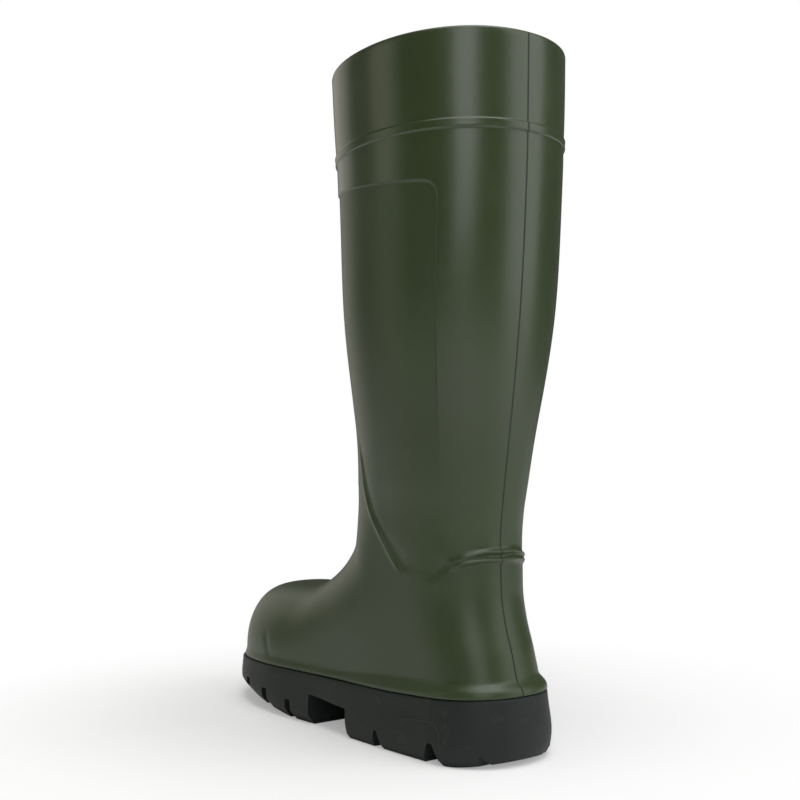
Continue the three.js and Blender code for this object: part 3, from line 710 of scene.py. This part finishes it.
@dataclass
class Upper:
    """The hollow moulded upper: shaft and foot in one wall, with its beads, ridges, creases and panels."""

    last: Last
    steps: int = 128
    shaft_wall: float = 4 * MM
    foot_wall: float = 5 * MM
    wall_blend: Tuple[float, float] = (0.6, 1.3)
    seat_gap: float = 0.3 * MM
    rim_round: float = 1.7 * MM
    rim_steps: int = 7
    cuff_bead: float = 4.5 * MM
    cuff_proud: float = 0.9 * MM
    bead_edge: float = 0.45 * MM
    panel_step: float = 0.8 * MM
    panel_rear: float = 0.143
    panel_gap: float = 31 * MM
    panel_top_rise: float = 0.55
    panel_corner: float = 7 * MM
    panel_edge: float = 0.5 * MM
    panel_fade: Tuple[float, float] = (0.95, 1.35)
    rib_proud: float = 2.1 * MM
    rib_half: float = 1.5 * MM
    fold_from: Tuple[float, float] = (25.5 * MM, 109.7 * MM)
    fold_to: Tuple[float, float] = (37 * MM, 98 * MM)
    fold_depth: float = 0.7 * MM
    fold_near: float = 2.8 * MM
    fold_far: float = 5 * MM
    crease_proud: float = 1.15 * MM
    crease_crisp: float = 1.2 * MM
    crease_front: float = 2.6 * MM
    trough_near: Tuple[float, float] = (2.2 * MM, 5 * MM)
    trough_depth: Tuple[float, float] = (0.65, 1.1)
    crease_low: Tuple[float, float] = (0.6, 0.8)
    heel_lip: float = 3.5 * MM
    side_lip: float = 1 * MM
    lip_flat: float = 1.6 * MM
    lip_high: Tuple[float, float] = (9 * MM, 6 * MM)
    lip_shares: Tuple[float, float] = (0.2, 0.45)
    lip_round: float = 0.7 * MM
    dent_from: Tuple[float, float] = (210.2 * MM, 50.9 * MM)
    dent_to: Tuple[float, float] = (203.2 * MM, 39.1 * MM)
    dent_half: float = 1.7 * MM
    dent_depth: float = 0.8 * MM

    def sections(self, runs: Sequence[Tuple[float, int]]) -> Array:
        """Section numbers of the rings, from the edge on the sole upwards."""
        starts = [0.0, *(end for end, _ in runs)]
        parts = [np.linspace(a, b, count + 1)[1:] for a, (b, count) in zip(starts, runs)]
        return np.concatenate([[0.0], *parts])

    def bead_sections(self) -> Array:
        """Sections close together along the cuff bead, and the rest of the way to the collar."""
        half, edge = self.cuff_bead / 2, self.bead_edge
        offsets = np.array([-half - 3 * edge, -half - edge, -half - edge / 2, -half, -half + edge / 2,
                            -half + edge, -half / 3, half / 3])
        along = np.concatenate([offsets, -offsets[:6][::-1]])
        bead = self.last.section_at(self.last.cuff_height + along)
        return np.concatenate([bead, np.linspace(bead[-1], self.last.top, 12)[1:]])

    def crease_place(self, y: Array, z: Array) -> Array:
        """How far a place lies behind the crease's ridge."""
        at = CREASE.spline("at")(self.last.rise_of(z))
        return mix(self.last.back_at(z), self.last.front_at(z), at) - y

    def shares(self, section: Array) -> Array:
        """Shares of the way from back to front, crowded along the crease and the panel's rear edge.

        The places turn evenly as a cosine does, with a density that adds a hump at each of the two lines.
        Its running total is worked out in closed form, and turned round by halving.

        Args:
            section: Section numbers, one to a ring.

        Returns:
            Shares, a row to a ring.
        """
        fine = np.linspace(0, 1, 401)
        y, z = self.last.side_place(section[:, None], np.broadcast_to(fine, (section.size, fine.size)))
        ridge = fine[np.argmax(self.crease_place(y, z) < 0, axis=1)]
        ridge = np.convolve(np.pad(ridge, 4, mode="edge"), np.ones(9) / 9, mode="valid")
        on_crease = smooth(5, 6.5, section) * (1 - smooth(12.4, 13.4, section))
        on_panel = smooth(9.5, 10.5, section)
        humps = [(np.arccos(1 - 2 * ridge) / np.pi, 0.05, 3.2 * on_crease),
                 (np.full(section.size, math.acos(1 - 2 * self.panel_rear) / math.pi), 0.01, 7 * on_panel)]

        def total(turn: Array) -> Array:
            """Running total of the density up to a turn: the turn itself and a rise at each hump."""
            rises = [(w * size)[:, None] * (np.tanh((turn - at[:, None]) / w) + np.tanh(at[:, None] / w))
                     for at, w, size in humps]
            return turn + sum(rises)

        target = np.linspace(0, 1, self.steps + 1)[None, :] * total(np.ones((section.size, 1)))
        low, high = np.zeros_like(target), np.ones_like(target)
        for _ in range(40):
            middle = (low + high) / 2
            under = total(middle) < target
            low, high = np.where(under, middle, low), np.where(under, high, middle)
        turn = (low + high) / 2
        turn[:, 0], turn[:, -1] = 0, 1
        return (1 - np.cos(np.pi * turn)) / 2

    def ribs(self, p: Array) -> Array:
        """Twin ridges round the heel: two bells about heights that run together and sink forwards."""
        x, y, z = p[..., 0], p[..., 1], p[..., 2]
        away = np.hypot(x, y - self.last.back_at(z)) / self.last.ankle_depth
        up = (z - self.last.heel_stack) / self.last.ankle_height
        half = self.rib_half / self.last.ankle_height
        ridges = sum(bell(up - RIBS.spline(name)(away), half) for name in ("upper", "lower"))
        strength = np.clip(RIBS.spline("strength")(away), 0, 1) * (away < RIBS["away"][-1])
        return self.rib_proud * strength * np.minimum(ridges, 1.1)

    def fold(self, p: Array) -> Array:
        """The slanting fold that leads on from the ridges, on both sides.

        A trough about a short line, steep where it meets the swell of the heel below it and slow to come
        back above, with a low swell on the other side.

        Args:
            p: Points of the surface.

        Returns:
            How far they move out.
        """
        start, end = np.array(self.fold_from), np.array(self.fold_to)
        run = end - start
        length = np.linalg.norm(run)
        along = ((p[..., 1:] - start) @ run) / length**2
        above = ((p[..., 1:] - start) @ np.array([-run[1], run[0]])) / length
        strength = smooth(-0.05, 0.25, along) * (1 - smooth(0.5, 1.25, along))
        strength *= smooth(0, self.fold_far, np.abs(p[..., 0]))
        swell = 0.25 * bell(above, np.where(above < 0, self.fold_far, 1 * MM))
        return self.fold_depth * strength * (swell - hollow(above, self.fold_near))

    def crease(self, p: Array) -> Array:
        """The crease beside the instep: a ridge, soft ahead and crisp behind, with a trough behind it."""
        y, z = p[..., 1], p[..., 2]
        behind, rise = self.crease_place(y, z), self.last.rise_of(z)
        low = 1 - smooth(*self.crease_low, rise)
        ridge = np.where(behind > 0, bell(behind, self.crease_crisp), bell(behind, self.crease_front))
        trough = hollow(behind, mix(*self.trough_near, low)) * mix(*self.trough_depth, low)
        strength = np.clip(CREASE.spline("strength")(rise), 0, 1)
        return self.crease_proud * strength * (ridge * 0.7 - trough)

    def cuff(self, p: Array) -> Array:
        """The cuff bead: a band that stands out, with soft edges and a slight dip along its middle."""
        off = np.abs(p[..., 2] - self.last.cuff_height)
        band = 1 - smooth(self.cuff_bead / 2 - self.bead_edge, self.cuff_bead / 2 + self.bead_edge, off)
        return self.cuff_proud * band * (1 - 0.35 * bell(off, 0.8 * MM))

    def panel(self, p: Array, share: Array) -> Tuple[Array, Array]:
        """The sunk side panels, inside a rear edge and a top edge that meet in a round corner.

        Args:
            p: Points of the surface.
            share: Their shares of the way from back to front.

        Returns:
            1 inside the panels and 0 outside, and 0 at the ankle up to 1 where they are at full depth.
        """
        y, z = p[..., 1], p[..., 2]
        back, front = self.last.back_at(z), self.last.front_at(z)
        drop = self.panel_gap * mix(1, self.panel_top_rise, (y - back) / (front - back))
        top = self.last.cuff_height - drop
        inside = (share - self.panel_rear) * (front - back)
        corner = self.panel_corner
        reach = corner - np.hypot(np.maximum(corner - inside, 0), np.maximum(corner - (top - z), 0))
        return smooth(-self.panel_edge, self.panel_edge, reach), smooth(*self.panel_fade, self.last.rise_of(z))

    def lip(self, p: Array) -> Array:
        """The ledge above the sole, widest and highest at the heel, with the very edge rounded in."""
        y, z = p[..., 1], p[..., 2]
        above = np.maximum(z - self.last.edge_height(y) - self.seat_gap, 0)
        along = smooth(*self.lip_shares, y / self.last.length)
        share = np.clip((above - self.lip_flat) / (mix(*self.lip_high, along) - self.lip_flat), 0, 1)
        tuck = 1 - arch(above / self.lip_round, 2.0)
        return mix(self.heel_lip, self.side_lip, along) * (1 - smooth(0, 1, share)) - self.lip_round * tuck

    def dent(self, p: Array) -> Array:
        """A small upright dent in the outer side of the toe: a bell about a short line."""
        start, end = np.array(self.dent_from), np.array(self.dent_to)
        run = end - start
        along = np.clip(((p[..., 1:] - start) @ run) / (run @ run), 0, 1)
        off = np.linalg.norm(p[..., 1:] - start - along[..., None] * run, axis=-1)
        return -self.dent_depth * bell(off, self.dent_half) * (p[..., 0] < 0)

    def skin(self, section: Array, share: Array) -> Tuple[Array, Array]:
        """The outer surface: the last's rings, moved out along their normals by all of the relief.

        Args:
            section: Section numbers, one to a ring.
            share: Shares of the way from back to front, a row to a ring.

        Returns:
            Points by ring, place round it and axis, and how far each lies on the glossy strip.
        """
        base = self.last.rings(section, share)
        base[..., 2] += self.seat_gap * np.clip(1 - section, 0, 1)[:, None]
        normals = outward(base)
        normals[..., 2] *= smooth(0, 1, section)[:, None]
        inside, risen = self.panel(base, np.concatenate([share, share[:, -2:0:-1]], axis=1))
        relief = (self.ribs(base) + self.fold(base) + self.crease(base) + self.cuff(base) + self.lip(base)
                  + self.dent(base) - self.panel_step * inside * risen)
        return base + normals * relief[..., None], (1 - inside) * risen

    def inner_wall(self) -> Array:
        """The inner surface from the collar down: the last's rings, moved in by the wall."""
        section = self.sections(INNER_RUNS)
        base = self.last.rings(section, self.shares(section))
        base[..., 2] += self.seat_gap * np.clip(1 - section, 0, 1)[:, None]
        normals = outward(base)
        normals[..., 2] *= (smooth(0, 1, section) * (1 - smooth(14.5, 15, section)))[:, None]
        wall = mix(self.foot_wall, self.shaft_wall, smooth(*self.wall_blend, self.last.rise_of(base[..., 2])))
        inside = base - normals * wall[..., None]
        inside[-1, :, 2] -= self.rim_round
        return inside[::-1]

    def rim(self, last_ring: Array, first_inner: Array) -> Array:
        """Rings over the collar's rim: half an ellipse from the outer wall to the inner one."""
        angle = np.pi * np.arange(1, self.rim_steps) / self.rim_steps
        across = (1 - np.cos(angle))[:, None, None] / 2
        rings = mix(last_ring[None], first_inner[None], across)
        rings[..., 2] += (self.rim_round * np.sin(angle))[:, None]
        return rings

    def build(self) -> bpy.types.Object:
        """Builds the closed wall, and keeps where its seams and its glossy strip lie for the finish.

        Returns:
            The finished piece.
        """
        section = np.concatenate([self.sections(OUTER_RUNS), self.bead_sections()])
        outside, strip = self.skin(section, self.shares(section))
        outside[-1, :, 2] -= self.rim_round
        inside = self.inner_wall()
        rim = self.rim(outside[-1], inside[0])
        rings = np.concatenate([outside, rim, inside])
        count, around = rings.shape[:2]
        made = mesh_object("upper_skin", self.last.to_row(rings), ring_faces(count, around, True))
        finish = np.full(count, Face.RUBBER.value)
        finish[len(outside) + len(rim): count - 1] = Face.LINING.value
        made.data.materials.append(OLIVE.material())
        made.data.materials.append(LINING.material())
        made.data.polygons.foreach_set("material_index", np.repeat(finish, around).astype(np.int32))
        after = np.cumsum(np.linalg.norm(np.roll(rings, -1, 1) - rings, axis=2), axis=1)
        before = np.concatenate([np.zeros((count, 1)), after[:, :-1]], axis=1)
        middle = before[:, around // 2, None]
        point_values(made.data, "from_back", np.minimum(before, after[:, -1:] - before))
        point_values(made.data, "from_front", np.abs(before - middle))
        bare = np.zeros((count - len(outside), around))
        point_values(made.data, "strip", np.concatenate([strip, bare]))
        made.data.update()
        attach(made, "root")
        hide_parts("upper")
        return made


@dataclass
class Outsole:
    """The moulded sole: heel block, arch, lugs and grooves."""

    last: Last
    steps: int = 110
    side_steps: int = 9
    heel_overhang: float = 3.4 * MM
    toe_overhang: float = 2.8 * MM
    edge_round: float = 1.4 * MM
    heel_swell: float = 2.2 * MM
    ball_swell: float = 1.1 * MM
    spring: float = 16.5 * MM
    spring_from: float = 0.605
    spring_power: float = 1.05
    strike: float = 3 * MM
    strike_run: float = 0.07
    strike_power: float = 1.5
    heel_bevel: float = 1.2 * MM
    ball_bevel: float = 4 * MM
    waist: Tuple[float, float] = (0.4, 0.5)
    arch_height: float = 19 * MM
    arch_tilt: float = 1 * MM
    arch_run: Tuple[float, float] = (0.366, 0.53)
    arch_slope: float = 0.012
    notch_height: float = 12 * MM
    notch_width: float = 9 * MM
    lug_height: float = 13 * MM
    lug_gap: float = 7 * MM
    notch_reach: float = 13 * MM
    tread_depth: float = 5 * MM
    channel_width: float = 4.5 * MM
    channel_spread: float = 30 * MM
    channel_runs: Tuple[Tuple[float, float], ...] = ((0.05, 0.33), (0.55, 0.93))
    softening: float = 0.45 * MM

    def spring_at(self, y: Any) -> Array:
        """Rise of the tread above the floor: power curves up to the toe and up to the back of the heel."""
        share = np.asarray(y) / self.last.length
        to_toe = np.maximum((share - self.spring_from) / (1 - self.spring_from), 0)
        to_back = np.maximum(1 - share / self.strike_run, 0)
        return self.spring * to_toe**self.spring_power + self.strike * to_back**self.strike_power

    def along(self, heel: float, toe: float, y: Array) -> Array:
        """A size that changes from heel to forefoot over the waist."""
        return mix(heel, toe, smooth(*self.waist, y / self.last.length))

    def overhang_at(self, y: Array) -> Array:
        """How far the sole stands out beyond the upper."""
        return self.along(self.heel_overhang, self.toe_overhang, y)

    def outline(self, extra: Any) -> Array:
        """The upper's outline on the sole, moved out level by the overhang and something extra.

        Args:
            extra: Distances to add, as a function of the place along the length.

        Returns:
            Points of the ring.
        """
        shares = np.concatenate([round_shares(self.steps)[None]] * 2)
        ring = self.last.rings(np.array([0.0, 0.0]), shares)[0]
        before, after = np.roll(ring, 1, 0), np.roll(ring, -1, 0)
        step = after - before
        level = np.stack([-step[:, 1], step[:, 0], np.zeros(len(ring))], axis=1)
        level /= np.linalg.norm(level, axis=1, keepdims=True)
        return ring + level * (self.overhang_at(ring[:, 1]) + extra(ring[:, 1]))[:, None]

    def bevel_at(self, y: Array) -> Array:
        """Bevel of the tread's edge, small at the heel and larger under the forefoot."""
        return self.along(self.heel_bevel, self.ball_bevel, y)

    def body(self, inset: float = 0.0) -> Solid:
        """The sole without its cuts.

        Rings from the tread up: the bevel, a side that swells as its table says, and a quarter round edge.

        Args:
            inset: How far all of it is drawn in.

        Returns:
            Points and faces.
        """
        swell, rises = SIDE.spline("swell"), SIDE["rise"]
        rings = []

        def ring(extra: Any, height: Any) -> None:
            """Adds a ring at a distance and a height, both functions of the place along the length."""
            points = self.outline(lambda y: extra(y) - inset)
            points[:, 2] = height(points[:, 1])
            rings.append(points)

        ring(lambda y: -self.bevel_at(y), self.spring_at)
        for rise in np.linspace(rises[0], rises[-1], self.side_steps):
            ring(lambda y: swell(rise) * self.along(self.heel_swell, self.ball_swell, y),
                 lambda y: mix(self.spring_at(y) + self.bevel_at(y) * (1 - smooth(0.06, 0.3, rise)),
                               self.last.edge_height(y), rise))
        for angle in np.linspace(0, np.pi / 2, 5)[1:]:
            ring(lambda y: 0 * y - self.edge_round * (1 - math.cos(angle)),
                 lambda y: self.last.edge_height(y) - self.edge_round * (1 - math.sin(angle)))
        points = np.stack(rings)
        count, around = points.shape[:2]
        quads = ring_faces(count, around, False)
        triangles = np.concatenate([quads[:, [0, 1, 2]], quads[:, [0, 2, 3]]]).tolist()
        bottom = cap_faces(0, around, False)
        top = cap_faces((count - 1) * around, around, True)
        return points, triangles + bottom + top

    def prism(self, outline: Sequence[Row], left: float, right: float) -> Solid:
        """A prism across the sole from an outline in the side view, given anticlockwise.

        Args:
            outline: Places along the length and heights.
            left: Where it starts across the sole.
            right: Where it ends.

        Returns:
            Points and faces.
        """
        flat = np.array(outline)
        ends = [np.column_stack([np.full(len(flat), x), flat]) for x in (left, right)]
        count = len(flat)
        faces = [list(range(count))[::-1], list(range(count, 2 * count))]
        faces += [[i, (i + 1) % count, (i + 1) % count + count, i + count] for i in range(count)]
        return np.concatenate(ends), faces

    def cutter(self, name: str, solids: Sequence[Solid]) -> bpy.types.Object:
        """One helper object of several separate solids."""
        points, faces, start = [], [], 0
        for solid, corners in solids:
            solid = solid.reshape(-1, 3)
            points.append(solid)
            faces += [[corner + start for corner in face] for face in corners]
            start += len(solid)
        return mesh_object(name, self.last.to_row(np.concatenate(points)), faces)

    def cut(self, piece: bpy.types.Object, tool: bpy.types.Object) -> None:
        """Takes a helper object out of a piece, for good, and drops the helper."""
        change = piece.modifiers.new("cut", "BOOLEAN")
        change.operation, change.solver, change.object = "DIFFERENCE", "EXACT", tool
        self.apply(piece)
        bpy.data.objects.remove(tool)

    def apply(self, piece: bpy.types.Object) -> None:
        """Gives a piece the mesh that its modifiers make."""
        graph = bpy.context.evaluated_depsgraph_get()
        made = bpy.data.meshes.new_from_object(piece.evaluated_get(graph))
        piece.modifiers.clear()
        piece.data = made

    def notch_outlines(self, rows: Sequence[Row], width: float, height: float,
                       limit: Optional[float]) -> List[List[Row]]:
        """Outlines of notches that narrow upwards from the tread.

        Args:
            rows: Their table.
            width: The width that its shares count.
            height: The height that its shares count.
            limit: The most that they rise, for the grooves that join them across the tread.

        Returns:
            Outlines in the side view.
        """
        outlines = []
        for at, base, narrow, share in rows:
            y, full = at * self.last.length, share * height
            up = full if limit is None else min(limit, full)
            floor = float(self.spring_at(y))
            half, top = base * width / 2, mix(base, narrow, up / full) * width / 2
            below = -self.last.heel_stack
            outlines.append([(y - half, below), (y + half, below), (y + half, floor), (y + top, floor + up),
                             (y - top, floor + up), (y - half, floor)])
        return outlines

    def all_notches(self, limit: Optional[float]) -> List[Solid]:
        """Prisms of the notches in heel and forefoot, or of the grooves that join them."""
        wide = self.last.ball_width
        solids = []
        for table, width, height in ((HEEL_NOTCHES, self.notch_width, self.notch_height),
                                     (LUG_NOTCHES, self.lug_gap, self.lug_height)):
            kept = [row for row in table.rows if limit is None or row[1] * width > self.channel_width / 2]
            solids += [self.prism(o, -wide, wide) for o in self.notch_outlines(kept, width, height, limit)]
        return solids

    def channels(self) -> List[Solid]:
        """Prisms of the grooves along the tread, on both sides of its middle."""
        solids = []
        for start, end in self.channel_runs:
            ys = np.linspace(start, end, 7) * self.last.length
            roof = [(y, float(self.spring_at(y)) + self.tread_depth) for y in ys[::-1]]
            outline = [(ys[0], -self.last.heel_stack), (ys[-1], -self.last.heel_stack), *roof]
            for side in (-1, 1):
                middle = side * self.channel_spread / 2
                half = self.channel_width / 2
                solids.append(self.prism(outline, middle - half, middle + half))
        return solids

    def arch_prism(self) -> Solid:
        """Prism of the arch between the heel block and the forefoot."""
        back, front = self.arch_run
        length, wide = self.last.length, self.last.ball_width
        outline = [(back * length, -self.last.heel_stack), (front * length, -self.last.heel_stack),
                   ((front - self.arch_slope) * length, self.arch_height + self.arch_tilt),
                   ((back + self.arch_slope / 2) * length, self.arch_height - self.arch_tilt)]
        return self.prism(outline, -wide, wide)

    def build(self) -> bpy.types.Object:
        """Cuts the arch, notches and grooves out of the body.

        Returns:
            The finished piece.
        """
        made = self.cutter("outsole_skin", [self.body()])
        notches = self.cutter("notches", self.all_notches(None))
        self.cut(notches, self.cutter("core", [self.body(self.notch_reach)]))
        for tool in (self.cutter("arch", [self.arch_prism()]), notches,
                     self.cutter("grooves", self.all_notches(self.tread_depth)),
                     self.cutter("channels", self.channels())):
            self.cut(made, tool)
        soft = made.modifiers.new("soft_edges", "BEVEL")
        soft.width, soft.segments, soft.limit_method = self.softening, 2, "ANGLE"
        soft.angle_limit, soft.use_clamp_overlap, soft.miter_outer = math.radians(38), True, "MITER_ARC"
        self.apply(made)
        made.data.polygons.foreach_set("use_smooth", np.ones(len(made.data.polygons), bool))
        made.data.set_sharp_from_angle(angle=math.radians(42))
        made.data.materials.clear()
        made.data.materials.append(DARK_SOLE.material())
        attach(made, "root")
        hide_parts("outsole")
        return made


@dataclass
class Insole:
    """The loose felted insole."""

    last: Last
    sole: Outsole
    thickness: float = 4.5 * MM
    edge: float = 1.3 * MM
    inset: float = 7 * MM
    seat_gap: float = 0.3 * MM
    steps: int = 5

    def build(self) -> bpy.types.Object:
        """Builds the insole: an upright edge, a quarter round and a flat top.

        Returns:
            The finished piece.
        """
        rings = []
        angles = np.linspace(0, np.pi / 2, self.steps)
        levels = [(0.0, 0.0), *((self.edge * (1 - math.cos(a)),
                                 self.thickness - self.edge * (1 - math.sin(a))) for a in angles)]
        for inwards, up in levels:
            points = self.sole.outline(lambda y: -self.inset - inwards - self.sole.overhang_at(y))
            points[:, 2] = self.last.edge_height(points[:, 1]) + self.seat_gap + up
            rings.append(points)
        points = np.stack(rings)
        count, around = points.shape[:2]
        faces = ring_faces(count, around, False).tolist() + cap_faces(0, around, False)
        faces += cap_faces((count - 1) * around, around, True)
        made = mesh_object("insole_felt", self.last.to_row(points), faces)
        made.data.set_sharp_from_angle(angle=math.radians(50))
        made.data.materials.append(FELT.material())
        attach(made, "root")
        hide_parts("insole")
        return made


@dataclass(frozen=True)
class Softbox:
    """A rectangular studio light: where it stands round the boot, how far off, how large and how strong."""

    name: str
    azimuth: float
    height: float
    distance: float
    width: float
    tall: float
    power: float
    tint: Colour = (1.0, 1.0, 1.0)


SOFTBOXES: Tuple[Softbox, ...] = (
    Softbox("key_behind_camera", -34, 0.95, 1.7, 0.8, 1.2, 8),
    Softbox("side_right", 37, 0.9, 1.5, 1.2, 1.8, 12),
    Softbox("side_left", -118, 0.6, 1.5, 0.6, 1.1, 2, (1.0, 0.96, 0.8)),
    Softbox("rim_left", -175, 0.5, 1.6, 1.0, 1.3, 2.8, (1.0, 0.96, 0.84)),
    Softbox("top", -5, 2.2, 0.45, 1.6, 1.6, 38),
)


@dataclass
class Studio:
    """The floor, the lights and the camera."""

    camera_place: Tuple[float, float, float] = (-0.3927, -0.5205, 0.1710)
    heading: float = 34.07
    pitch: float = -1.57
    roll: float = 0.84
    lens: float = 50.0
    shift: float = 0.1075
    sky: float = 0.11
    floor_tone: Colour = (0.95, 0.95, 0.95)
    floor_middle: Tuple[float, float, float] = (0, 0.09, 0)
    floor_half: float = 12.0
    floor_fade: Tuple[float, float] = (0.11, 0.36)
    floor_glow: float = 0.3

    def camera(self) -> bpy.types.Object:
        """Places the camera: its axes turn by heading and pitch, and then roll about the line of sight.

        Returns:
            The camera.
        """
        data = bpy.data.cameras.new("camera")
        data.lens, data.sensor_width, data.shift_y = self.lens, 36.0, self.shift
        data.clip_start, data.clip_end = 0.01, 50
        made = add_object("camera", data)
        heading, pitch, roll = (math.radians(angle) for angle in (self.heading, self.pitch, self.roll))
        flat = math.cos(pitch)
        ahead = Vector((math.sin(heading) * flat, math.cos(heading) * flat, math.sin(pitch)))
        level = Vector((math.cos(heading), -math.sin(heading), 0))
        up = level.cross(ahead)
        across = level * math.cos(roll) - up * math.sin(roll)
        upright = level * math.sin(roll) + up * math.cos(roll)
        turned = Matrix((across, upright, -ahead)).transposed().to_4x4()
        made.matrix_world = Matrix.Translation(self.camera_place) @ turned
        bpy.context.scene.camera = made
        return made

    def floor(self) -> bpy.types.Object:
        """Lays the pale floor.

        Returns:
            The floor, which isn't part of the object.
        """
        r = self.floor_half
        corners = np.array([[-r, -r, 0], [r, -r, 0], [r, r, 0], [-r, r, 0]])
        made = mesh_object("floor", corners, [[0, 1, 2, 3]])
        material, graph, where = new_material("floor_pale")
        paint = graph.node("ShaderNodeBsdfPrincipled", {},
                           {"Base Color": rgba(self.floor_tone), "Roughness": 0.6})
        white = graph.node("ShaderNodeEmission", {}, {"Color": rgba((1.0, 1.0, 1.0)), "Strength": 1.0})
        away = graph.node("ShaderNodeVectorMath", {"operation": "DISTANCE"},
                          {0: where, 1: self.floor_middle}, "Value")
        seen = graph.node("ShaderNodeLightPath", output="Is Camera Ray")
        fade = away.step(*self.floor_fade) * (1 - self.floor_glow) + self.floor_glow
        graph.show(graph.node("ShaderNodeMixShader", {}, {0: fade * seen, 1: paint, 2: white}))
        made.data.materials.append(material)
        return made

    def world(self) -> None:
        """An even sky that the camera sees as white."""
        world = bpy.data.worlds.new("studio")
        world.use_nodes = True
        graph = Graph(world.node_tree)
        seen = graph.node("ShaderNodeLightPath", output="Is Camera Ray")
        strength = seen * (1.0 - self.sky) + self.sky
        sky = graph.node("ShaderNodeBackground", {}, {"Color": (1, 1, 1, 1), "Strength": strength})
        graph.show(sky, "ShaderNodeOutputWorld")
        bpy.context.scene.world = world

    def lights(self) -> None:
        """Stands the softboxes round the boot, each turned to its middle."""
        aim = Vector((0, 0.03, 0.17))
        for box in SOFTBOXES:
            data = bpy.data.lights.new(box.name, "AREA")
            data.shape, data.size, data.size_y = "RECTANGLE", box.width, box.tall
            data.energy, data.color = box.power, box.tint
            angle = math.radians(box.azimuth)
            made = add_object(box.name, data)
            made.location = (math.sin(angle) * box.distance, -math.cos(angle) * box.distance, box.height)
            made.rotation_euler = (aim - made.location).to_track_quat("-Z", "Y").to_euler()

    def build(self) -> None:
        """Sets the whole studio up."""
        self.camera()
        self.floor()
        self.world()
        self.lights()
        bpy.context.scene.view_settings.view_transform = "Standard"


def main() -> None:
    """Builds the boot's pieces and the studio."""
    logging.basicConfig(level=logging.INFO, format="%(name)s: %(message)s")
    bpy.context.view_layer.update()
    last = Last()
    sole = Outsole(last)
    for builder in (Upper(last), sole, Insole(last, sole)):
        piece = builder.build()
        LOG.info("%s: %d points, %d faces", piece.name, len(piece.data.vertices), len(piece.data.polygons))
    Studio().build()
    LOG.info("studio ready")


if __name__ == "__main__":
    main()
